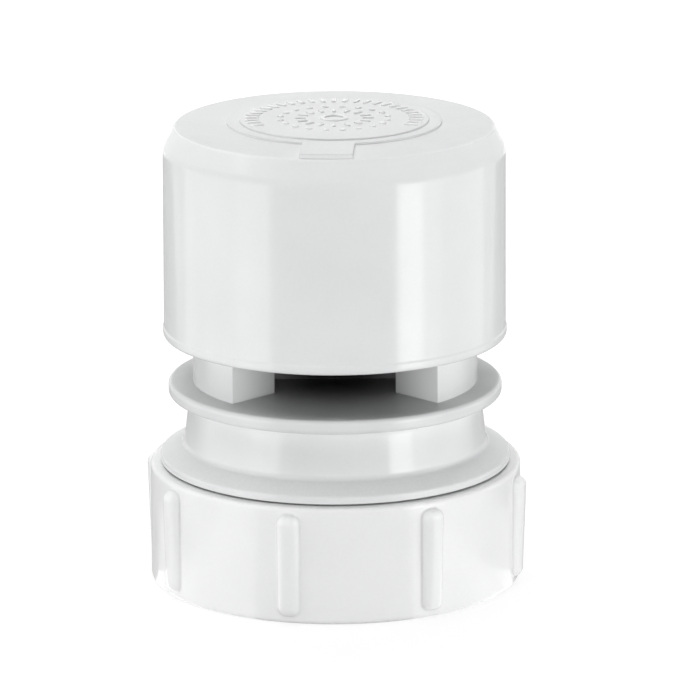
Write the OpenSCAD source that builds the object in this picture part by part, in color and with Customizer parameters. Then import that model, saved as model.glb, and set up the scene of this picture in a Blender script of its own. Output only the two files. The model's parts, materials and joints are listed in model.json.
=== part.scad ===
// Air admittance valve with a compression joint for a waste pipe.
// Z runs up along the pipe. Z = 0 is the underside of the nut, and the axis is X = Y = 0.
// The two air windows face -Y and +Y, and the two hollow posts between them stand at -X and +X.
// Air enters at the windows, rises through the well on both sides of a baffle,
// lifts the diaphragm off its seat, and goes down the ducts in the posts to the pipe.

/* [Pipe socket] */
// Outside diameter of the waste pipe
pipe_d = 43; // [40:0.5:50]
// Gap on each side between the pipe and the socket
pipe_gap = 0.25; // [0.1:0.05:0.5]
// Socket wall behind the thread
socket_wall = 3.4; // [2.8:0.1:4.5]
// Step in the bore above the end of the pipe
stop_ledge = 0.6; // [0.4:0.1:1.2]
// Height of the ribs that stop the pipe
stop_rib_h = 5; // [3:0.5:6]
// Reach of the stop ribs into the bore
stop_rib_in = 1.8; // [1:0.1:3]
// Thickness of the stop ribs
stop_rib_t = 2; // [1.2:0.1:3]
// Angle of the stop ribs from the middle of a window
stop_rib_turn = 28; // [15:1:40]

/* [Compression nut] */
// Height of the nut
nut_h = 19.3; // [18:0.1:24]
// Wall of the nut behind the thread
nut_wall = 3.7; // [3.2:0.1:5]
// Thickness of the lip at the bottom of the nut
nut_base_t = 2.6; // [2:0.1:4]
// Space between socket and nut that the threads fill
thread_gap = 1.6; // [1.2:0.1:2.2]
// How much larger the hole in the lip is than the socket, on each side
nut_hole_gap = 0.5; // [0.3:0.1:1]
// Chamfer that leads the nut on to the socket
nut_lead = 1; // [0.6:0.1:1.5]
// Rounding of the nut's top edge
nut_top_round = 0.6; // [0.3:0.1:1.2]
// Rounding of the nut's bottom edge
nut_foot_round = 0.6; // [0.3:0.1:1.5]
// Number of grip ribs
rib_count = 8; // [6:1:12]
// Width of a grip rib
rib_w = 3.7; // [3.2:0.1:5]
// How far a grip rib stands out at its top
rib_rise = 1.65; // [1:0.05:2.2]
// How much less it stands out at its bottom
rib_draft = 0.5; // [0.1:0.05:0.6]
// Distance of a grip rib's ends from the ends of the nut
rib_end = 1.1; // [0.8:0.1:3]
// Rounding of a grip rib's edges and ends
rib_round = 1.5; // [1:0.05:1.55]
// Angle of the first grip rib from +X
rib_turn = 30.5; // [0:0.5:60]

/* [Pipe seal and slip ring] */
// Thickness of the slip ring
slip_t = 1.2; // [0.8:0.1:2]
// Gap on each side between the slip ring and the nut
slip_gap = 0.4; // [0.2:0.1:0.6]
// How much larger the slip ring's hole is than the socket, on each side
slip_hole_gap = 0.3; // [0.2:0.05:0.6]
// How much larger the seal's hole is than the socket, on each side
seal_hole_gap = 0.15; // [0.1:0.05:0.3]
// Space between the slip ring and the end of the socket
squeeze_gap = 3.4; // [2.8:0.1:4.5]
// Height of the cone in the mouth of the socket
seal_cone_h = 4; // [3:0.1:5]
// Reach of that cone along the radius
seal_cone_run = 2.6; // [2:0.1:2.8]
// Gap between the seal's cone and the socket's cone, along the radius
seal_gap = 0.15; // [0.1:0.05:0.3]
// Thickness of the seal at its upper end
seal_nose = 0.5; // [0.4:0.1:0.8]
// Gap between the seal's outside and the nut
seal_side_gap = 1.2; // [0.8:0.1:1.6]

/* [Shoulder, neck and flange] */
// Gap between the top of the nut and the shoulder over it
seam_gap = 0.25; // [0.15:0.05:0.6]
// How far the shoulder's edge stays inside the outside of the nut
shoulder_inset = 1.7; // [1:0.1:2.4]
// Height of the shoulder's edge
shoulder_edge_h = 1.2; // [1:0.1:2]
// Rounding of the shoulder's upper edge
shoulder_round = 0.5; // [0.2:0.1:0.6]
// Height of the sloping shoulder
shoulder_h = 1.9; // [1.5:0.1:4]
// Height of the neck
neck_h = 8.05; // [6:0.05:14]
// Wall of the neck at its foot
neck_foot_wall = 3.1; // [2.4:0.05:4]
// Wall of the neck at its waist, under the flange
neck_waist_wall = 2.15; // [1.8:0.05:3]
// Blend of the neck into shoulder and flange
neck_blend = 1.2; // [0.4:0.1:1.8]
// Reach of the flange past the neck's waist
flange_out = 3.45; // [2:0.05:6]
// Thickness of the flange
flange_t = 2.3; // [1.6:0.1:3]
// Rounding of the flange's edges
flange_round = 0.75; // [0.3:0.05:0.75]

/* [Windows, posts and seat] */
// Height of the air windows
window_h = 8.4; // [6:0.1:14]
// Angle that each window takes up
window_deg = 90; // [70:1:110]
// Outer wall of a hollow post
post_wall = 2.15; // [1.6:0.05:3]
// Side walls of a hollow post
post_side_wall = 1.7; // [1.4:0.1:2.4]
// Radius of the well
well_r = 13.9; // [12:0.1:15]
// Wall of the tube that carries the valve seat
well_wall = 1.6; // [1.4:0.1:2]
// Thickness of the baffle between the two windows
baffle_t = 2; // [1.4:0.1:3]
// Gap between the baffle's ends and the well
baffle_gap = 0.4; // [0.3:0.1:1]
// How far the baffle reaches up into the well
baffle_up = 4; // [2:0.1:8]
// Step between that tube and the ducts in the posts
duct_step = 0.4; // [0.2:0.1:1]
// Width of the flat land of the valve seat
seat_land = 0.6; // [0.4:0.1:1]
// Height of the slopes beside that land
seat_slope_h = 0.8; // [0.5:0.1:1.5]
// Thickness of the plate over the windows
plate_t = 2; // [1.6:0.1:3]
// Reach of the plate past the posts
plate_out = 2.55; // [2.2:0.05:4]
// Thickness of the plate's rim under and over its groove
groove_lip = 1.3; // [1:0.1:2]
// Wall of the rim behind the groove
groove_wall = 1.4; // [1:0.1:2]

/* [Cap] */
// Height of the cap from its rim to its top edge
cap_h = 34.8; // [32:0.1:45]
// Wall of the cap
cap_wall = 1.9; // [1.4:0.1:2.6]
// Gap on each side between the cap and the plate
cap_gap = 0.25; // [0.1:0.05:0.4]
// How far the cap's rim hangs below the plate
cap_lap = 0.7; // [0.6:0.1:2]
// How much narrower the cap's wall is at its top
cap_draft = 0.1; // [0:0.05:0.4]
// Height of the chamfer round the top
chamfer_h = 3.5; // [2:0.1:6]
// Reach of the chamfer along the radius
chamfer_in = 1.9; // [1:0.05:4]
// Rounding at the foot of the chamfer
chamfer_foot_round = 3; // [0.5:0.1:4]
// Rounding at the top of the chamfer
chamfer_top_round = 0.7; // [0.2:0.1:1]
// Thickness of the cap's top at its edge
cap_top_t = 2.2; // [1.6:0.1:3]
// Rise of the top from its edge to its middle
dome_rise = 0.7; // [0.3:0.05:1.5]
// How far the bead round the rim stands out
rim_bead = 0.15; // [0.05:0.01:0.4]
// Height of the bead round the rim
rim_bead_h = 1.5; // [1:0.1:2.5]
// Thickness of the cap seal's section
cap_seal_d = 1.8; // [1.4:0.1:2.4]
// Gap round the cap seal
cap_seal_gap = 0.03; // [0.02:0.01:0.1]
// How far the snap bead reaches under the plate
snap_in = 0.35; // [0.2:0.05:0.6]
// Gap between the plate and what holds it in the cap
snap_gap = 0.05; // [0.03:0.01:0.15]
// Number of ribs inside the cap that land on the plate
land_rib_count = 6; // [3:1:12]
// Thickness of those ribs
land_rib_t = 1.4; // [1:0.1:2]
// Reach of those ribs from the wall
land_rib_in = 1.2; // [0.8:0.1:2]

/* [Raised disc and tab on the cap] */
// Radius of the lower step
disc_step_r = 17.5; // [14:0.1:20]
// Radius of the upper step
disc_inner_r = 15.4; // [10:0.1:17]
// Height of the lower step and the tab over the cap's top edge
disc_step_rise = 0.72; // [0.6:0.02:1.2]
// Height of the upper step over the lower one
disc_inner_rise = 0.25; // [0.1:0.05:0.6]
// Width of the tab
tab_w = 8.4; // [5:0.1:14]
// Distance of the tab's end from the top edge
tab_end = 0.5; // [0.3:0.1:3]
// Angle of the tab from the middle of the front window, towards -X
tab_turn = 3; // [0:0.5:45]

/* [Diaphragm, carrier and guide] */
// Lift of the diaphragm off its seat
lift = 5; // [3:0.1:6]
// Thickness of the diaphragm
diaphragm_t = 1.6; // [1:0.1:2.4]
// Reach of the diaphragm past the seat's tube
diaphragm_out = 2.6; // [1.5:0.1:4]
// Rounding of the diaphragm's rim
diaphragm_round = 0.5; // [0.2:0.1:0.5]
// Thickness of the carrier's plate
disc_t = 1.4; // [1:0.1:2]
// How far the carrier's plate stays inside the diaphragm's rim
disc_inset = 1.4; // [0.8:0.1:4]
// Radius of the hub that the diaphragm is buttoned on
hub_r = 3.8; // [3.2:0.1:5]
// Gap between hub and diaphragm
hub_gap = 0.1; // [0.05:0.05:0.3]
// Reach of the barb that holds the diaphragm
barb_out = 0.8; // [0.5:0.1:1.5]
// Height of the barb
barb_h = 1.4; // [1:0.1:2]
// Radius of the collar that stops the lift
collar_r = 5; // [4.4:0.1:7]
// Height of the collar
collar_h = 1.5; // [1:0.1:3]
// Number of stiffening ribs on the carrier
stiff_rib_count = 6; // [3:1:12]
// Thickness of the stiffening ribs
stiff_rib_t = 1; // [0.8:0.1:1.6]
// Radius of the guide stem
stem_r = 2.5; // [2:0.1:3]
// Gap on each side between the stem and its guide
guide_gap = 0.3; // [0.2:0.05:0.5]
// Wall of the guide tube
guide_wall = 1.7; // [1.2:0.1:2.5]
// Length of the stem that is in the guide when the valve is shut
stem_engage = 3.6; // [2:0.1:6]
// Room over the stem, and under the guide, at full lift
stop_gap = 0.3; // [0.2:0.05:0.6]
// Reach of the webs that hold the guide tube
web_out = 8; // [4:0.5:12]
// Thickness of the webs
web_t = 1.2; // [1:0.1:2]

/* [Hidden] */
$fn = 128;

WHITE = [0.92, 0.93, 0.93];
NATURAL = [0.84, 0.86, 0.84];
RUBBER = [0.09, 0.09, 0.1];

// Small edge roundings that are the same all over
edge_round = 0.3;
// How far one shape runs into another that it is fused with
bite = 0.4;
// Steps in each rounded corner, and along the dome
corner_steps = 6;
dome_steps = 8;

// Radii, from the pipe outwards
socket_r = pipe_d / 2 + pipe_gap;
thread_root_r = socket_r + socket_wall;
nut_bore_r = thread_root_r + thread_gap;
nut_r = nut_bore_r + nut_wall;
nut_hole_r = socket_r + nut_hole_gap;
rib_r = nut_r + rib_rise;
shoulder_r = nut_r - shoulder_inset;
neck_foot_r = socket_r + neck_foot_wall;
neck_waist_r = socket_r + neck_waist_wall;
flange_r = neck_waist_r + flange_out;
upper_bore_r = socket_r - stop_ledge;
post_r = upper_bore_r + post_wall;
seat_tube_r = well_r + well_wall;
duct_in_r = seat_tube_r + duct_step;
seat_mid_r = well_r + well_wall / 2;
plate_r = post_r + plate_out;
cap_in_r = plate_r + cap_gap;
cap_r = cap_in_r + cap_wall;
cap_top_r = cap_r - cap_draft - chamfer_in;
groove_r = cap_in_r - cap_seal_d - 2 * cap_seal_gap;
rim_in_r = groove_r - groove_wall;
slip_out_r = nut_bore_r - slip_gap;
slip_in_r = socket_r + slip_hole_gap;
seal_in_r = socket_r + seal_hole_gap;
seal_out_r = nut_bore_r - seal_side_gap;
diaphragm_r = seat_tube_r + diaphragm_out;
disc_r = diaphragm_r - disc_inset;
guide_r = stem_r + guide_gap;
guide_out_r = guide_r + guide_wall;

// Heights, from the underside of the nut upwards
slip_z = nut_base_t;
seal_z = slip_z + slip_t;
socket_end_z = seal_z + squeeze_gap;
shoulder_under_z = nut_h + seam_gap;
shoulder_top_z = shoulder_under_z + shoulder_edge_h;
neck_foot_z = shoulder_top_z + shoulder_h;
flange_under_z = neck_foot_z + neck_h;
deck_z = flange_under_z + flange_t;
pipe_stop_z = flange_under_z - stop_rib_h;
plate_z = deck_z + window_h;
plate_top_z = plate_z + plate_t;
groove_h = cap_seal_d + 2 * edge_round;
groove_z = plate_z + groove_lip;
rim_top_z = groove_z + groove_h + groove_lip;
cap_rim_z = plate_z - cap_lap;
cap_edge_z = cap_rim_z + cap_h;
chamfer_z = cap_edge_z - chamfer_h;
ceiling_z = cap_edge_z - cap_top_t;
inner_chamfer_z = ceiling_z - chamfer_h + cap_wall / 2;
stem_top_z = ceiling_z - stop_gap - lift;
guide_z = stem_top_z - stem_engage;
collar_top_z = guide_z - stop_gap - lift;
disc_top_z = collar_top_z - collar_h;
disc_z = disc_top_z - disc_t;
seat_z = disc_z - diaphragm_t;

// Fall of the seal's and socket's cones along the radius for each unit of height
seal_taper = seal_cone_run / seal_cone_h;
seal_mouth_r = socket_r + seal_cone_run - seal_gap;
seal_nose_r = seal_in_r + seal_nose;
seal_top_z = socket_end_z + (seal_mouth_r - seal_nose_r) / seal_taper;
seal_edge_z = socket_end_z - (seal_out_r - seal_mouth_r) / seal_taper;

function unit(v) = v / norm(v);

function spun(v, a) = [v[0] * cos(a) - v[1] * sin(a), v[0] * sin(a) + v[1] * cos(a)];

// Points of the arc of radius r that rounds the corner at b, on the way from a to c
function corner_arc(a, b, c, r) =
  let (
    u = unit(a - b),
    w = unit(c - b),
    half = acos(u * w) / 2,
    centre = b + unit(u + w) * r / sin(half),
    first = b + u * r / tan(half) - centre,
    last = b + w * r / tan(half) - centre,
    turn = (180 - 2 * half) * sign(cross(first, last))
  )
  [for (i = [0 : corner_steps]) centre + spun(first, turn * i / corner_steps)];

function flat_point(p) = [p[0], p[1]];

// Outline through points [x, y] or [x, y, corner radius]
function rounded(points) =
  let (n = len(points))
  [
    for (i = [0 : n - 1])
      let (
        here = points[i],
        before = flat_point(points[(i + n - 1) % n]),
        after = flat_point(points[(i + 1) % n])
      )
      each len(here) > 2 && here[2] > 0
        ? corner_arc(before, flat_point(here), after, here[2])
        : [flat_point(here)]
  ];

// Solid of revolution with that outline as its half section
module turned(points) {
  rotate_extrude()
    polygon(rounded(points));
}

// Upright rib with its outline in the plane through the axis, at the given angle
module radial_rib(points, thickness, angle) {
  rotate(angle)
    rotate([90, 0, 0])
      linear_extrude(height = thickness, center = true)
        polygon(points);
}

// Wedge on +X between two planes that lie half the angle to each side, seen from above
module wedge(angle, reach) {
  polygon([[0, 0], [reach, -reach * tan(angle / 2)], [reach, reach * tan(angle / 2)]]);
}

post_deg = 180 - window_deg;

// Outside of one post
module post() {
  translate([0, 0, deck_z - bite])
    linear_extrude(height = window_h + 2 * bite)
      intersection() {
        difference() {
          circle(r = post_r);
          circle(r = well_r);
        }
        wedge(post_deg, 2 * post_r);
      }
}

// Space inside one post, open to the pipe below and to the cap above
module duct() {
  side_shift = post_side_wall / sin(post_deg / 2);
  translate([0, 0, pipe_stop_z + bite])
    linear_extrude(height = plate_top_z + bite - pipe_stop_z)
      intersection() {
        difference() {
          circle(r = upper_bore_r);
          circle(r = duct_in_r);
        }
        translate([side_shift, 0])
          wedge(post_deg, 2 * post_r);
      }
}

// Socket, shoulder, neck and flange, closed at the top by the deck
module socket_and_neck() {
  turned([
    [0, flange_under_z],
    [upper_bore_r, flange_under_z],
    [upper_bore_r, pipe_stop_z],
    [socket_r, pipe_stop_z],
    [socket_r, socket_end_z + seal_cone_h],
    [socket_r + seal_cone_run, socket_end_z],
    [thread_root_r, socket_end_z, edge_round],
    [thread_root_r, shoulder_under_z],
    [shoulder_r, shoulder_under_z, edge_round],
    [shoulder_r, shoulder_top_z, shoulder_round],
    [neck_foot_r, neck_foot_z, neck_blend],
    [neck_waist_r, flange_under_z, neck_blend],
    [flange_r, flange_under_z, flange_round],
    [flange_r, deck_z, flange_round],
    [0, deck_z]
  ]);
}

// Plate over the windows, its grooved rim, and the tube with the valve seat
module plate_and_seat() {
  turned([
    [well_r, plate_z],
    [plate_r, plate_z, edge_round],
    [plate_r, groove_z],
    [groove_r, groove_z],
    [groove_r, groove_z + groove_h],
    [plate_r, groove_z + groove_h],
    [plate_r, rim_top_z, edge_round],
    [rim_in_r, rim_top_z, edge_round],
    [rim_in_r, plate_top_z],
    [seat_tube_r, plate_top_z],
    [seat_tube_r, seat_z - seat_slope_h],
    [seat_mid_r + seat_land / 2, seat_z],
    [seat_mid_r - seat_land / 2, seat_z],
    [well_r, seat_z - seat_slope_h]
  ]);
}

// Ribs under the deck that the pipe comes up against
module stop_ribs() {
  rib_outline = [
    [upper_bore_r - stop_rib_in, pipe_stop_z],
    [upper_bore_r + bite, pipe_stop_z],
    [upper_bore_r + bite, flange_under_z + bite],
    [upper_bore_r - stop_rib_in, flange_under_z + bite]
  ];
  for (window = [90, 270], side = [-1, 1])
    radial_rib(rib_outline, stop_rib_t, window + side * stop_rib_turn);
}

// Baffle across the deck that keeps a draught from blowing through both windows
module baffle() {
  baffle_l = 2 * (well_r - baffle_gap);
  translate([-baffle_l / 2, -baffle_t / 2, deck_z - bite])
    cube([baffle_l, baffle_t, window_h + baffle_up + bite]);
}

module valve_body() {
  color(WHITE) {
    difference() {
      union() {
        socket_and_neck();
        plate_and_seat();
        for (side = [0, 180])
          rotate(side) post();
      }
      for (side = [0, 180])
        rotate(side) duct();
    }
    stop_ribs();
    baffle();
  }
}

// Points of the cap's shallow dome, from its edge to its middle
function dome_points() = [
  for (i = [1 : dome_steps])
    let (share = 1 - i / dome_steps)
    [cap_top_r * share, cap_edge_z + dome_rise * (1 - share * share)]
];

module cap_shell() {
  bead_top_z = cap_rim_z + rim_bead_h;
  snap_r = plate_r - snap_in;
  snap_top_z = plate_z - snap_gap;
  turned(concat(
    [
      [cap_in_r + edge_round, cap_rim_z],
      [cap_r + rim_bead, cap_rim_z, 2 * edge_round],
      [cap_r + rim_bead, bead_top_z - rim_bead, edge_round],
      [cap_r, bead_top_z + rim_bead, edge_round],
      [cap_r - cap_draft, chamfer_z, chamfer_foot_round],
      [cap_top_r, cap_edge_z, chamfer_top_round]
    ],
    dome_points(),
    [
      [0, ceiling_z],
      [cap_in_r - chamfer_in, ceiling_z, edge_round],
      [cap_in_r, inner_chamfer_z],
      [cap_in_r, snap_top_z],
      [snap_r, snap_top_z],
      [snap_r, snap_top_z - edge_round]
    ]
  ));
}

// Raised disc in two steps, with a tab that runs to the front edge
module raised_disc() {
  translate([0, 0, ceiling_z + bite])
    cylinder(r = disc_inner_r, h = cap_edge_z + disc_step_rise + disc_inner_rise - ceiling_z - bite);
  translate([0, 0, ceiling_z + bite])
    linear_extrude(height = cap_edge_z + disc_step_rise - ceiling_z - bite) {
      circle(r = disc_step_r);
      intersection() {
        circle(r = cap_top_r - tab_end);
        rotate(-90 - tab_turn)
          translate([0, -tab_w / 2])
            square([cap_top_r, tab_w]);
      }
    }
}

// Tube under the cap's top in which the stem slides, held by four webs
module stem_guide() {
  turned([
    [guide_r, guide_z],
    [guide_out_r, guide_z, edge_round],
    [guide_out_r, ceiling_z + bite],
    [guide_r, ceiling_z + bite]
  ]);
  web_outline = [
    [guide_out_r - bite, guide_z + guide_wall],
    [guide_out_r + web_out, ceiling_z + bite],
    [guide_out_r - bite, ceiling_z + bite]
  ];
  for (i = [0 : 3])
    radial_rib(web_outline, web_t, 45 + 90 * i);
}

// Ribs on the cap's wall that come down on the plate's rim
module landing_ribs() {
  rib_outline = [
    [cap_in_r - land_rib_in, rim_top_z + snap_gap],
    [cap_in_r + bite, rim_top_z + snap_gap],
    [cap_in_r + bite, inner_chamfer_z],
    [cap_in_r - chamfer_in + bite, ceiling_z + bite],
    [cap_in_r - chamfer_in - land_rib_in, ceiling_z + bite]
  ];
  for (i = [0 : land_rib_count - 1])
    radial_rib(rib_outline, land_rib_t, 360 / land_rib_count * i);
}

module cap() {
  color(WHITE) {
    cap_shell();
    raised_disc();
    stem_guide();
    landing_ribs();
  }
}

module cap_seal() {
  color(RUBBER)
    rotate_extrude()
      translate([cap_in_r - cap_seal_gap - cap_seal_d / 2, groove_z + groove_h / 2])
        circle(d = cap_seal_d);
}

module diaphragm() {
  color(RUBBER)
    turned([
      [hub_r + hub_gap, seat_z],
      [diaphragm_r, seat_z, diaphragm_round],
      [diaphragm_r, seat_z + diaphragm_t, diaphragm_round],
      [hub_r + hub_gap, seat_z + diaphragm_t]
    ]);
}

module valve_disc() {
  barb_z = seat_z - hub_gap;
  stiff_outline = [
    [collar_r - bite, disc_top_z - bite],
    [disc_r - disc_inset, disc_top_z - bite],
    [disc_r - disc_inset, disc_top_z],
    [collar_r - bite, collar_top_z - edge_round]
  ];
  color(NATURAL) {
    turned([
      [0, barb_z - barb_h],
      [hub_r - barb_out, barb_z - barb_h],
      [hub_r + barb_out, barb_z - edge_round],
      [hub_r + barb_out, barb_z],
      [hub_r, barb_z],
      [hub_r, disc_z],
      [disc_r, disc_z, edge_round],
      [disc_r, disc_top_z, edge_round],
      [collar_r, disc_top_z],
      [collar_r, collar_top_z, edge_round],
      [stem_r, collar_top_z],
      [stem_r, stem_top_z, 2 * edge_round],
      [0, stem_top_z]
    ]);
    for (i = [0 : stiff_rib_count - 1])
      radial_rib(stiff_outline, stiff_rib_t, 360 / stiff_rib_count * i);
  }
}

// Grip rib at +X: two round bars side by side with ball ends, and a flat between them
module grip_rib() {
  bar_h = nut_h - 2 * rib_end - 2 * rib_round;
  flat_w = rib_w - 2 * rib_round;
  lean = atan(rib_draft / bar_h);
  translate([rib_r - rib_draft - rib_round, 0, rib_end + rib_round])
    rotate([0, lean, 0]) {
      for (side = [-1, 1])
        translate([0, side * flat_w / 2, 0]) {
          cylinder(r = rib_round, h = bar_h);
          sphere(r = rib_round);
          translate([0, 0, bar_h])
            sphere(r = rib_round);
        }
      for (z = [0, bar_h])
        translate([0, 0, z])
          rotate([90, 0, 0])
            cylinder(r = rib_round, h = flat_w, center = true);
      translate([-rib_round, -flat_w / 2, 0])
        cube([2 * rib_round, flat_w, bar_h]);
    }
}

module compression_nut() {
  color(WHITE) {
    turned([
      [nut_hole_r, 0, edge_round],
      [nut_r, 0, nut_foot_round],
      [nut_r, nut_h, nut_top_round],
      [nut_bore_r + nut_lead, nut_h, edge_round],
      [nut_bore_r, nut_h - nut_lead],
      [nut_bore_r, nut_base_t],
      [nut_hole_r, nut_base_t]
    ]);
    for (i = [0 : rib_count - 1])
      rotate(rib_turn + 360 / rib_count * i)
        grip_rib();
  }
}

module slip_ring() {
  color(NATURAL)
    turned([
      [slip_in_r, slip_z],
      [slip_out_r, slip_z],
      [slip_out_r, seal_z],
      [slip_in_r, seal_z]
    ]);
}

module pipe_seal() {
  color(RUBBER)
    turned([
      [seal_in_r, seal_z],
      [seal_out_r, seal_z],
      [seal_out_r, seal_edge_z],
      [seal_nose_r, seal_top_z],
      [seal_in_r, seal_top_z]
    ]);
}

valve_body();
cap();
cap_seal();
diaphragm();
valve_disc();
compression_nut();
slip_ring();
pipe_seal();
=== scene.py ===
import json
import math

import bmesh
import bpy
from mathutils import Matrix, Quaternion, Vector

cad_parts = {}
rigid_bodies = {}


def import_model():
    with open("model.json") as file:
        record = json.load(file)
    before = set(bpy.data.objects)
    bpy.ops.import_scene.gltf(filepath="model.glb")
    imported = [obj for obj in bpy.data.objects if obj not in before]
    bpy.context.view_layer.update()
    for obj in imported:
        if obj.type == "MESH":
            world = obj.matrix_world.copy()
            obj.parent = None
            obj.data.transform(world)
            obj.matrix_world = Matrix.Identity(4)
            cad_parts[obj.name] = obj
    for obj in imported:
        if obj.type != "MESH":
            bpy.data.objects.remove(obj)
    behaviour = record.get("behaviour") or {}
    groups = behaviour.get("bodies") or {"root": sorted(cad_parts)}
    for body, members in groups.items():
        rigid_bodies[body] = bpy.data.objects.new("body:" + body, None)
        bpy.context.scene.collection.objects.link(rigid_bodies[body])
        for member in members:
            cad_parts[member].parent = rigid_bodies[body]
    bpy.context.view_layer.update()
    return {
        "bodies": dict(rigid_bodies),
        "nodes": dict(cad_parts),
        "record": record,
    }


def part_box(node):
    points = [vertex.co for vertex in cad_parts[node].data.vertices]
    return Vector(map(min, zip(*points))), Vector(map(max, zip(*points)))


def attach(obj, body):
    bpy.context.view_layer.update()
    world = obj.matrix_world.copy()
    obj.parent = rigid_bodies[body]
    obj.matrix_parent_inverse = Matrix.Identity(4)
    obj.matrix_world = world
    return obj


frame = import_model()
nodes = frame["nodes"]
record = frame["record"]
scene = bpy.context.scene

MM = 0.001


def named(rows, name):
    """Row of one of the record's lists, by its name."""
    return next(row for row in rows if row["name"] == name)


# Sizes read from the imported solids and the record
nut_box_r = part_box("compression_nut")[1][0]
top_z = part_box("cap")[1][2]
socket_r = named(record["mounts"], "pipe_socket")["dims"]["r_mm"] * MM
front_window = named(record["physics"]["openings"], "air_window_front")
thread_pitch = record["behaviour"]["couplings"][0]["ratio"] * 2 * math.pi

# ---- Materials ----

# Noises: scale per metre, detail and roughness
CLOUDS = (90, 2, 0.5)
SMEARS = (160, 4, 0.6)
WAVES = (70, 1, 0.5)
SKIN = (2600, 2, 0.5)
SPECKS = (1900, 2, 0.6)
BLOOM = (220, 5, 0.65)
DUST = (500, 3, 0.5)
PEBBLES = (1800, 3, 0.5)
# Middle span of a noise, where most of its values lie
NOISE_MIDDLE = (0.3, 0.7)

# Bumps: distance and strength
WAVE_BUMP = (0.02 * MM, 0.35)
SKIN_BUMP = (0.004 * MM, 0.25)
PEBBLE_BUMP = (0.02 * MM, 0.5)

# Upward part of the normal, from faces that count as upright to faces that count as upper ones
UPWARD = (0.6, 0.95)
# Depth of the specks and roughness on upright and on upper faces
SPECK_DEPTH = (0.018, 0.05)
SMOOTH_FINISH = (0.15, 0.42)
NUT_FINISH = (0.16, 0.2)
NATURAL_FINISH = (0.34, 0.34)
SMEAR_SHARE = (0.85, 1.2)
PLASTIC_IOR = 1.49
EDGE_R = 0.3 * MM
NUT_EDGE_R = 0.9 * MM
EDGE_SAMPLES = 6

RUBBER_SHADES = ((0.011, 0.011, 0.012), (0.03, 0.03, 0.032))
RUBBER_ROUGHNESS = (0.5, 0.72)

# Painted shade inside the air windows: colour darkened from their floor, the deck, upwards, from
# the axis outwards, and on faces that don't look outwards (the radius times the outward part of the
# normal)
OPENING_CLEARANCE = 0.2 * MM
deck_z = front_window["box_m"][0][2] - OPENING_CLEARANCE
PAINTED_SHADE_Z = (deck_z - 0.2 * MM, deck_z - 0.1 * MM)
PAINTED_SHADE_R = (3 * MM, 27 * MM)
PAINTED_SHADE_OUTWARD = (8 * MM, 16 * MM)
# Colour of the painted shade at its darkest
PAINTED_SHADE_COLOUR = (0.002, 0.002, 0.002)


def principled(name):
    """New material with its node tree and Principled shader."""
    material = bpy.data.materials.new(name)
    material.use_nodes = True
    return material, material.node_tree, material.node_tree.nodes["Principled BSDF"]


def coordinates(tree, kind):
    """Position or normal in the object's own coordinates, so that a look rides with the piece."""
    return tree.nodes.new("ShaderNodeTexCoord").outputs[kind]


def separated(tree, vector):
    """Outputs X, Y and Z of a vector."""
    split = tree.nodes.new("ShaderNodeSeparateXYZ")
    tree.links.new(vector, split.inputs[0])
    return split.outputs


def noise(tree, kind):
    """Noise of a kind from the list above."""
    texture = tree.nodes.new("ShaderNodeTexNoise")
    for name, number in zip(("Scale", "Detail", "Roughness"), kind):
        texture.inputs[name].default_value = number
    tree.links.new(coordinates(tree, "Object"), texture.inputs["Vector"])
    return texture.outputs["Fac"]


def mapped(tree, value, source, result, smooth=False):
    """Value carried from one span of numbers to another, with soft ends where smooth."""
    ramp = tree.nodes.new("ShaderNodeMapRange")
    if smooth:
        ramp.interpolation_type = "SMOOTHSTEP"
    for name, number in zip(("From Min", "From Max", "To Min", "To Max"), (*source, *result)):
        ramp.inputs[name].default_value = number
    tree.links.new(value, ramp.inputs["Value"])
    return ramp.outputs["Result"]


def spread(tree, kind, result=(0, 1)):
    """Noise with its middle carried to a span of numbers."""
    return mapped(tree, noise(tree, kind), NOISE_MIDDLE, result)


def facing_up(tree, result):
    """Value that goes from its first number on upright faces to its second on upper ones."""
    return mapped(tree, separated(tree, coordinates(tree, "Normal"))["Z"], UPWARD, result)


def times(tree, first, second):
    """Product of two values."""
    product = tree.nodes.new("ShaderNodeMath")
    product.operation = "MULTIPLY"
    tree.links.new(first, product.inputs[0])
    tree.links.new(second, product.inputs[1])
    return product.outputs[0]


def mixed(tree, factor, first, second, blend="MIX"):
    """Mix of two colours, each a fixed shade or the output of a node."""
    mix = tree.nodes.new("ShaderNodeMix")
    mix.data_type = "RGBA"
    mix.blend_type = blend
    tree.links.new(factor, mix.inputs["Factor"])
    for name, colour in (("A", first), ("B", second)):
        if isinstance(colour, tuple):
            mix.inputs[name].default_value = (*colour, 1)
        else:
            tree.links.new(colour, mix.inputs[name])
    return mix.outputs["Result"]


def soft_edges(tree, radius):
    """Normal that rounds sharp edges as a mould does."""
    bevel = tree.nodes.new("ShaderNodeBevel")
    bevel.samples = EDGE_SAMPLES
    bevel.inputs["Radius"].default_value = radius
    return bevel.outputs["Normal"]


def bumps(tree, shader, layers, normal=None):
    """Chain of bumps on the shader's normal, each a noise with its distance and strength."""
    for kind, (distance, strength) in layers:
        bump = tree.nodes.new("ShaderNodeBump")
        bump.inputs["Distance"].default_value = distance
        bump.inputs["Strength"].default_value = strength
        tree.links.new(noise(tree, kind), bump.inputs["Height"])
        if normal:
            tree.links.new(normal, bump.inputs["Normal"])
        normal = bump.outputs["Normal"]
    tree.links.new(normal, shader.inputs["Normal"])


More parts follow.
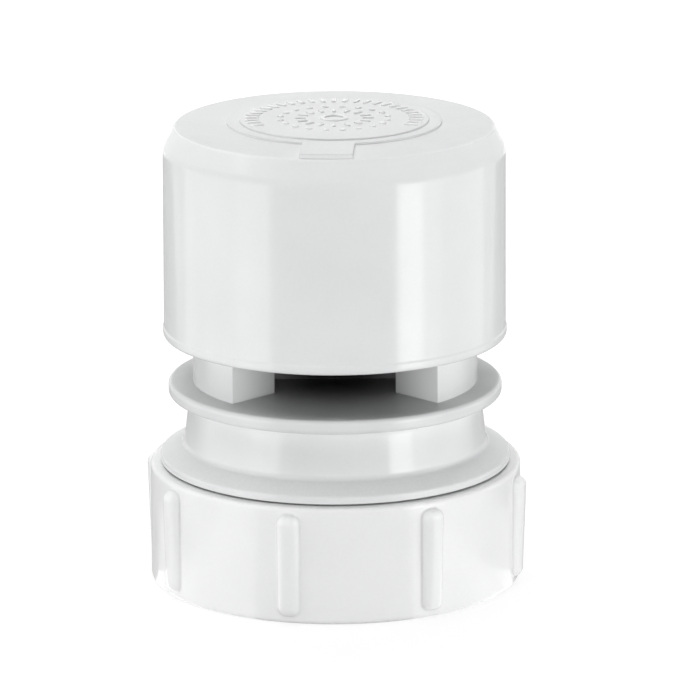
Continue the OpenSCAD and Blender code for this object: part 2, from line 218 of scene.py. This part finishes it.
def painted_window_shade(tree, colour):
    """Colour darkened inside the air windows: painted shade, darkest on the deck near the axis."""
    position = separated(tree, coordinates(tree, "Object"))
    flat = tree.nodes.new("ShaderNodeCombineXYZ")
    for axis in ("X", "Y"):
        tree.links.new(position[axis], flat.inputs[axis])
    radius = tree.nodes.new("ShaderNodeVectorMath")
    radius.operation = "LENGTH"
    tree.links.new(flat.outputs[0], radius.inputs[0])
    outward = tree.nodes.new("ShaderNodeVectorMath")
    outward.operation = "DOT_PRODUCT"
    tree.links.new(flat.outputs[0], outward.inputs[0])
    tree.links.new(coordinates(tree, "Normal"), outward.inputs[1])
    inner = mapped(tree, radius.outputs["Value"], PAINTED_SHADE_R, (1, 0), smooth=True)
    above = mapped(tree, position["Z"], PAINTED_SHADE_Z, (0, 1), smooth=True)
    turned_in = mapped(tree, outward.outputs["Value"], PAINTED_SHADE_OUTWARD, (1, 0), smooth=True)
    return mixed(tree, times(tree, times(tree, inner, above), turned_in), colour, PAINTED_SHADE_COLOUR)


def moulded_plastic(name, shades, finish, windows=False, edge_r=EDGE_R):
    """Injection moulding: faint clouds and specks, slow waves, a fine skin, satin upper faces, and
    painted shade inside the air windows where windows is set.
    """
    material, tree, shader = principled(name)
    colour = mixed(tree, spread(tree, CLOUDS), *shades)
    depth = facing_up(tree, SPECK_DEPTH)
    colour = mixed(tree, depth, colour, spread(tree, SPECKS), blend="MULTIPLY")
    # Painted shade inside the air windows
    if windows:
        colour = painted_window_shade(tree, colour)
    tree.links.new(colour, shader.inputs["Base Color"])
    roughness = times(tree, spread(tree, SMEARS, SMEAR_SHARE), facing_up(tree, finish))
    tree.links.new(roughness, shader.inputs["Roughness"])
    shader.inputs["IOR"].default_value = PLASTIC_IOR
    bumps(tree, shader, ((WAVES, WAVE_BUMP), (SKIN, SKIN_BUMP)), soft_edges(tree, edge_r))
    return material


def moulded_rubber(name):
    """Matt moulded rubber with a dusty bloom and a pebbled skin."""
    material, tree, shader = principled(name)
    colour = mixed(tree, spread(tree, BLOOM), *RUBBER_SHADES)
    tree.links.new(colour, shader.inputs["Base Color"])
    tree.links.new(spread(tree, DUST, RUBBER_ROUGHNESS), shader.inputs["Roughness"])
    bumps(tree, shader, ((PEBBLES, PEBBLE_BUMP),))
    return material


WHITE = moulded_plastic(
    "white_moulding", ((0.785, 0.795, 0.795), (0.81, 0.82, 0.82)), SMOOTH_FINISH)
# The body's white carries painted shade inside its air windows
BODY_WHITE = moulded_plastic(
    "body_moulding", ((0.745, 0.755, 0.755), (0.77, 0.78, 0.78)), SMOOTH_FINISH, windows=True)
NUT_WHITE = moulded_plastic(
    "nut_moulding", ((0.89, 0.895, 0.895), (0.91, 0.915, 0.915)), NUT_FINISH, edge_r=NUT_EDGE_R)
# The relief's marks are a lighter white than the cap they stand on: painted highlight
RELIEF_HIGHLIGHT_WHITE = moulded_plastic(
    "relief_painted_highlight", ((0.92, 0.925, 0.925), (0.935, 0.94, 0.94)), NUT_FINISH)
NATURAL = moulded_plastic(
    "natural_moulding", ((0.70, 0.72, 0.69), (0.76, 0.78, 0.75)), NATURAL_FINISH)
RUBBER = moulded_rubber("black_rubber")

SLOT_MATERIALS = {"white_plastic": WHITE, "natural_plastic": NATURAL, "black_rubber": RUBBER}
NODE_MATERIALS = {"valve_body": BODY_WHITE, "compression_nut": NUT_WHITE}

for subpart in record["subparts"]:
    node, slot_material = subpart["node"], SLOT_MATERIALS[subpart["material_slot"]]
    node_mesh = nodes[node].data
    node_mesh.materials.clear()
    node_mesh.materials.append(NODE_MATERIALS.get(node, slot_material))

# ---- Pieces ----


def mesh_piece(name, build, body, material):
    """New mesh piece made by build(bm), riding on a body."""
    mesh = bpy.data.meshes.new(name)
    bm = bmesh.new()
    build(bm)
    bmesh.ops.recalc_face_normals(bm, faces=bm.faces)
    bm.to_mesh(mesh)
    bm.free()
    piece = bpy.data.objects.new(name, mesh)
    scene.collection.objects.link(piece)
    mesh.materials.append(material)
    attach(piece, body)
    return piece


# Screw threads: ridges on the socket's wall and in the nut's bore, half a pitch apart
SOCKET_WALL = 3.4 * MM
THREAD_GAP = 1.6 * MM
SOCKET_THREAD_Z = (8.4 * MM, 18.0 * MM)
NUT_THREAD_Z = (7.0 * MM, 16.4 * MM)
THREAD_DEPTH = 1.25 * MM
THREAD_ROOT_W = 2.5 * MM
THREAD_CREST_W = 1.0 * MM
THREAD_SINK = 0.15 * MM
STEPS_PER_TURN = 96
# At its ends a ridge grows from a small share of its depth, and from a share of its width
RUN_OUT_TURNS = 0.14
RUN_OUT_DEPTH = 0.02
RUN_OUT_W = 0.4
OUTSIDE, INSIDE = 1, -1

thread_root_r = socket_r + SOCKET_WALL
nut_bore_r = thread_root_r + THREAD_GAP
nut_thread_phase = 2 * math.pi * ((NUT_THREAD_Z[0] - SOCKET_THREAD_Z[0]) / thread_pitch + 0.5)


def thread(bm, root_r, side, low_z, high_z, phase=0):
    """Ridge along a right-hand helix, on the outside of a tube or inside one."""
    turns = (high_z - low_z) / thread_pitch
    steps = round(turns * STEPS_PER_TURN)
    rings = []
    for i in range(steps + 1):
        turn = turns * i / steps
        grown = min(1, turn / RUN_OUT_TURNS, (turns - turn) / RUN_OUT_TURNS)
        grown = max(grown, RUN_OUT_DEPTH)
        angle = phase + 2 * math.pi * turn
        z = low_z + thread_pitch * turn
        root = root_r - side * THREAD_SINK
        crest = root_r + side * THREAD_DEPTH * grown
        half_w = (RUN_OUT_W + (1 - RUN_OUT_W) * grown) / 2
        half_root, half_crest = THREAD_ROOT_W * half_w, THREAD_CREST_W * half_w
        section = (
            (root, -half_root), (crest, -half_crest), (crest, half_crest), (root, half_root))
        rings.append([
            bm.verts.new((r * math.cos(angle), r * math.sin(angle), z + dz)) for r, dz in section])
    n = len(rings[0])
    for a, b in zip(rings, rings[1:]):
        for k in range(n):
            bm.faces.new((a[k], a[(k + 1) % n], b[(k + 1) % n], b[k]))
    bm.faces.new(rings[0])
    bm.faces.new(rings[-1])


def socket_thread(bm):
    thread(bm, thread_root_r, OUTSIDE, *SOCKET_THREAD_Z)


def nut_thread(bm):
    thread(bm, nut_bore_r, INSIDE, *NUT_THREAD_Z, nut_thread_phase)


mesh_piece("socket_thread", socket_thread, "housing", BODY_WHITE)
mesh_piece("nut_thread", nut_thread, "nut", NUT_WHITE)

# Plain relief on the cap's top, a lighter white than the cap: painted highlight
RELIEF_H = 0.28 * MM
BAR_COUNT = 29
BAR_SPAN = math.radians(224)
BAR_MIDDLE = math.radians(90)
BAR_R = 13.4 * MM
BAR_L = 2.5 * MM
BAR_W = 0.95 * MM
PIP_COUNT = 20
PIP_RING_R = 8.8 * MM
PIP_R = 0.62 * MM
DASH_COUNT = 16
DASH_R = 5.5 * MM
DASH_L = 1.9 * MM
DASH_W = 0.7 * MM
GATE_R = 1.9 * MM
GATE_SINK = 0.1 * MM
ROUND_END_STEPS = 6
GATE_STEPS = 64
# Levels of a bar from its foot to its crown: inset as a share of its width, both sides together,
# and height as a share of the relief's
BAR_LEVELS = ((0.0, -0.3), (0.16, 0.42), (0.36, 0.82), (0.62, 1.0))
# Section of the gate mark: place as a share of its width, and height
GATE_SECTION = (
    (-0.5, -GATE_SINK), (-0.4, 0.7 * RELIEF_H), (-0.15, RELIEF_H),
    (0.15, RELIEF_H), (0.4, 0.7 * RELIEF_H), (0.5, -GATE_SINK))


def stadium(radius, angle, length, width):
    """Outline of a bar with round ends along the radius, at an angle from +X."""
    out = Vector((math.cos(angle), math.sin(angle)))
    across = Vector((-math.sin(angle), math.cos(angle)))
    points = []
    for end in (1, -1):
        middle = out * (radius + end * (length - width) / 2)
        for k in range(ROUND_END_STEPS + 1):
            t = math.pi * (k / ROUND_END_STEPS - 0.5)
            points.append(middle + end * width / 2 * (math.cos(t) * out + math.sin(t) * across))
    return points


def bar(bm, radius, angle, length, width):
    """Low crowned bar on the cap's top, or a pip where its length is its width."""
    rings = []
    for inset, height in BAR_LEVELS:
        cut = inset * width
        z = top_z + RELIEF_H * height
        outline = stadium(radius, angle, length - cut, width - cut)
        rings.append([bm.verts.new((x, y, z)) for x, y in outline])
    n = len(rings[0])
    for low, high in zip(rings, rings[1:]):
        for i in range(n):
            j = (i + 1) % n
            bm.faces.new((low[i], low[j], high[j], high[i])).smooth = True
    bm.faces.new(rings[-1]).smooth = True
    bm.faces.new(rings[0][::-1])


def gate_mark(bm, radius, width):
    """Low crowned ring round the middle of the cap's top."""
    section = [(radius + width * share, top_z + height) for share, height in GATE_SECTION]
    rings = []
    for i in range(GATE_STEPS):
        a = 2 * math.pi * i / GATE_STEPS
        rings.append([bm.verts.new((r * math.cos(a), r * math.sin(a), z)) for r, z in section])
    n = len(section)
    for a, b in zip(rings, rings[1:] + rings[:1]):
        for k in range(n):
            bm.faces.new((a[k], a[(k + 1) % n], b[(k + 1) % n], b[k])).smooth = True


def cap_relief(bm):
    """Arc of short bars round the back, a ring of pips, a ring of dashes and a ringed gate mark."""
    for i in range(BAR_COUNT):
        bar(bm, BAR_R, BAR_MIDDLE + BAR_SPAN * (i / (BAR_COUNT - 1) - 0.5), BAR_L, BAR_W)
    for i in range(PIP_COUNT):
        bar(bm, PIP_RING_R, 2 * math.pi * (i + 0.5) / PIP_COUNT, 2 * PIP_R, 2 * PIP_R)
    for i in range(DASH_COUNT):
        bar(bm, DASH_R, 2 * math.pi * i / DASH_COUNT, DASH_L, DASH_W)
    gate_mark(bm, GATE_R, BAR_W)


mesh_piece("cap_relief", cap_relief, "housing", RELIEF_HIGHLIGHT_WHITE)

# ---- Lights ----

# Angles go round from the camera's side, positive to the right, in degrees
OBJECT_MIDDLE = Vector((0, 0, 40 * MM))
BOX_DISTANCE = 600 * MM
# Soft boxes, overhead, high at the left and back, and in a low ring round the object:
# angle, elevation, width and height in metres, radiance
BOXES = (
    ("top_box", 0, 90, (0.6, 0.6), 1.8),
    ("left_high_box", -95, 50, (0.5, 0.3), 1.36),
    ("left_front_high_box", -50, 65, (0.4, 0.3), 0.66),
    ("back_box", 180, 50, (0.6, 0.3), 2.5),
    ("left_back_low_box", -100, 2, (0.3, 0.1), 5.0),
    ("left_low_box", -70, 2, (0.3, 0.1), 9.0),
    ("left_front_low_box", -35, 2, (0.3, 0.1), 4.5),
    ("front_low_box", 0, 2, (0.4, 0.1), 7.0),
    ("right_front_low_box", 35, 2, (0.3, 0.1), 6.1),
    ("right_low_box", 70, 2, (0.3, 0.1), 10.8),
    ("right_back_low_box", 100, 2, (0.3, 0.1), 6.6),
    ("back_low_box", 180, 2, (0.4, 0.1), 6.0),
)
# Boxes that also show in the gloss: they pick out the relief and the left of the chamfer
SHINING_BOXES = ("left_high_box", "left_front_high_box")

# Cards that only show as reflections in the upright walls of the cap and posts:
# from one angle to another, radiance
CARD_DISTANCE = 110 * MM
CARD_MIDDLE = Vector((0, 0, 35 * MM))
CARD_H = 50 * MM
CARDS = (
    ("left_near_card", -61, -38, 2.0),
    ("left_card", -85, -61, 1.25),
    ("left_far_card", -107, -85, 0.9),
    ("right_strip", 37.2, 54, 4.3),
    ("right_card", 54, 66, 1.75),
    ("right_far_card", 66, 107, 0.9),
)

# Cards that lie on the floor beside the nut and only show as reflections in its wall, which is a
# share of the way out to the box round its ribs:
# angle of the front edge, strip from one distance behind that edge to another, radiance
NUT_WALL_SHARE = 0.95
NUT_CARD_R = nut_box_r * NUT_WALL_SHARE
NUT_CARD_L = 110 * MM
NUT_CARD_LIFT = 0.05 * MM
NUT_CARDS = (
    ("left_nut_card", -50, 0, 33 * MM, 1.45),
    ("left_nut_far_card", -50, 33 * MM, 70 * MM, 0.6),
    ("right_nut_card", 47, 0, 33 * MM, 1.55),
    ("right_nut_far_card", 47, 33 * MM, 70 * MM, 0.7),
)

# The nut is the foot, so the floor and what lies on it go down with it when it is screwed off
foot = frame["bodies"]["seal_stack"]


def towards(angle):
    """Level direction at an angle from the camera's side, in radians."""
    return Vector((math.sin(angle), -math.cos(angle), 0))


def area_light(name, place, target, size, radiance):
    """Soft box of the given width and height that faces the target, with an even brightness."""
    lamp = bpy.data.lights.new(name, "AREA")
    lamp.shape = "RECTANGLE"
    lamp.size, lamp.size_y = size
    lamp.energy = radiance * math.pi * size[0] * size[1]
    light = bpy.data.objects.new(name, lamp)
    light.location = place
    light.rotation_euler = (target - place).to_track_quat("-Z", "Y").to_euler()
    light.visible_camera = False
    scene.collection.objects.link(light)
    return light


def soft_box(name, angle_deg, elevation_deg, size, radiance):
    """Box on a sphere round the object's middle."""
    elevation = math.radians(elevation_deg)
    direction = math.cos(elevation) * towards(math.radians(angle_deg))
    direction.z = math.sin(elevation)
    place = OBJECT_MIDDLE + BOX_DISTANCE * direction
    light = area_light(name, place, OBJECT_MIDDLE, size, radiance)
    light.visible_glossy = name in SHINING_BOXES


def card(name, from_deg, to_deg, radiance):
    """Upright card between two angles."""
    middle, half = math.radians(from_deg + to_deg) / 2, math.radians(to_deg - from_deg) / 2
    place = CARD_MIDDLE + CARD_DISTANCE * towards(middle)
    size = (2 * CARD_DISTANCE * math.tan(half), CARD_H)
    light = area_light(name, place, CARD_MIDDLE, size, radiance)
    light.visible_diffuse = False


def nut_card(name, edge_deg, start, end, radiance):
    """Strip behind an edge that shows on the nut's wall at half the edge's angle."""
    edge = math.radians(edge_deg)
    along = towards(edge)
    behind = towards(edge + math.copysign(math.pi / 2, edge))
    corner = NUT_CARD_R * towards(edge / 2)
    place = corner + NUT_CARD_L / 2 * along + (start + end) / 2 * behind
    place.z = NUT_CARD_LIFT
    size = (NUT_CARD_L, end - start)
    light = area_light(name, place, place + Vector((0, 0, 1)), size, radiance)
    light.rotation_euler = (math.pi, 0, math.atan2(along.y, along.x))
    light.visible_diffuse = False
    light.parent = foot


for row in BOXES:
    soft_box(*row)
for row in CARDS:
    card(*row)
for row in NUT_CARDS:
    nut_card(*row)

# ---- Floor, grey card and background ----

FLOOR_HALF = 3.0
FLOOR_DROP = 0.05 * MM
# The floor as a source of bounced light, and as the camera and reflections see it: a shade that
# takes the object's shadow, and a glow that grows to white with the distance from the object
FLOOR_BOUNCE = 0.42
FLOOR_SHADE = 0.25
FLOOR_GLOW = (0.8, 1.0)
FLOOR_GLOW_R = (40 * MM, 250 * MM)

# Grey card on the floor behind the object, seen only in the reflections at its left and right edges
GREY_NEAR_Y = -14 * MM
GREY_FAR_Y = 320 * MM
GREY_NEAR_HALF = 70 * MM
GREY_FAR_HALF = 300 * MM
GREY_LIFT = 0.02 * MM
GREY_GLOW = 0.55


def staged_plane(name, near_y, far_y, near_half, far_half, z, material):
    """Flat four-sided piece of the stage, which goes down with the foot."""
    mesh = bpy.data.meshes.new(name)
    corners = [(-near_half, near_y, 0), (near_half, near_y, 0),
               (far_half, far_y, 0), (-far_half, far_y, 0)]
    mesh.from_pydata(corners, [], [(0, 1, 2, 3)])
    mesh.materials.append(material)
    plane = bpy.data.objects.new(name, mesh)
    plane.location.z = z
    plane.parent = foot
    scene.collection.objects.link(plane)
    return plane


def seen_rays(tree):
    """1 for camera, glossy and transmission rays, 0 for diffuse light."""
    path = tree.nodes.new("ShaderNodeLightPath")
    total = path.outputs["Is Camera Ray"]
    for name in ("Is Glossy Ray", "Is Transmission Ray"):
        either = tree.nodes.new("ShaderNodeMath")
        either.operation = "MAXIMUM"
        tree.links.new(total, either.inputs[0])
        tree.links.new(path.outputs[name], either.inputs[1])
        total = either.outputs[0]
    return total


def stage_material(name):
    """New material without a shader, with its node tree."""
    material = bpy.data.materials.new(name)
    material.use_nodes = True
    tree = material.node_tree
    tree.nodes.remove(tree.nodes["Principled BSDF"])
    return material, tree


def diffuse(tree, grey):
    """Output of a plain grey diffuse shader."""
    shader = tree.nodes.new("ShaderNodeBsdfDiffuse")
    shader.inputs["Color"].default_value = (grey, grey, grey, 1)
    return shader.outputs[0]


def floor_material():
    """White to the camera and in reflections, plain grey to other light."""
    material, tree = stage_material("pale_floor")
    distance = tree.nodes.new("ShaderNodeVectorMath")
    distance.operation = "LENGTH"
    tree.links.new(coordinates(tree, "Object"), distance.inputs[0])
    glow = tree.nodes.new("ShaderNodeEmission")
    strength = mapped(tree, distance.outputs["Value"], FLOOR_GLOW_R, FLOOR_GLOW, smooth=True)
    tree.links.new(strength, glow.inputs["Strength"])
    seen = tree.nodes.new("ShaderNodeAddShader")
    tree.links.new(diffuse(tree, FLOOR_SHADE), seen.inputs[0])
    tree.links.new(glow.outputs[0], seen.inputs[1])
    mix = tree.nodes.new("ShaderNodeMixShader")
    tree.links.new(seen_rays(tree), mix.inputs[0])
    tree.links.new(diffuse(tree, FLOOR_BOUNCE), mix.inputs[1])
    tree.links.new(seen.outputs[0], mix.inputs[2])
    tree.links.new(mix.outputs[0], tree.nodes["Material Output"].inputs["Surface"])
    return material


def grey_material():
    """Even grey glow."""
    material, tree = stage_material("grey_card")
    glow = tree.nodes.new("ShaderNodeEmission")
    glow.inputs["Strength"].default_value = GREY_GLOW
    tree.links.new(glow.outputs[0], tree.nodes["Material Output"].inputs["Surface"])
    return material


def studio_world():
    """White to the camera and in reflections, without light of its own."""
    world = bpy.data.worlds.new("studio")
    world.use_nodes = True
    tree = world.node_tree
    white = tree.nodes["Background"]
    white.inputs["Color"].default_value = (1, 1, 1, 1)
    tree.links.new(seen_rays(tree), white.inputs["Strength"])
    return world


staged_plane(
    "floor", -FLOOR_HALF, FLOOR_HALF, FLOOR_HALF, FLOOR_HALF, -FLOOR_DROP, floor_material())
grey_card = staged_plane(
    "grey_card", GREY_NEAR_Y, GREY_FAR_Y, GREY_NEAR_HALF, GREY_FAR_HALF, GREY_LIFT, grey_material())
grey_card.visible_camera = False
grey_card.visible_diffuse = False
grey_card.visible_shadow = False
grey_card.visible_transmission = False

scene.world = studio_world()
scene.view_settings.view_transform = "Standard"

# ---- Camera of the photograph ----

IMAGE_PX = 700
SENSOR_MM = 36
CAMERA_DISTANCE = 902 * MM
CAMERA_TARGET = Vector((0, 0, 37.6 * MM))
CAMERA_ELEVATION = math.radians(14.8)
CAMERA_ROLL = math.radians(-0.23)
CAMERA_FOCAL_PX = 5500
CAMERA_OFFSET_PX = 15
CAMERA_NEAR = 10 * MM

camera_data = bpy.data.cameras.new("camera")
camera_data.sensor_width = SENSOR_MM
camera_data.lens = SENSOR_MM * CAMERA_FOCAL_PX / IMAGE_PX
camera_data.shift_x = CAMERA_OFFSET_PX / IMAGE_PX
camera_data.clip_start = CAMERA_NEAR
camera = bpy.data.objects.new("camera", camera_data)
away = Vector((0, -math.cos(CAMERA_ELEVATION), math.sin(CAMERA_ELEVATION)))
camera.location = CAMERA_TARGET + CAMERA_DISTANCE * away
camera.rotation_mode = "QUATERNION"
camera.rotation_quaternion = (
    (-away).to_track_quat("-Z", "Y") @ Quaternion((0, 0, 1), CAMERA_ROLL))
scene.collection.objects.link(camera)
scene.camera = camera
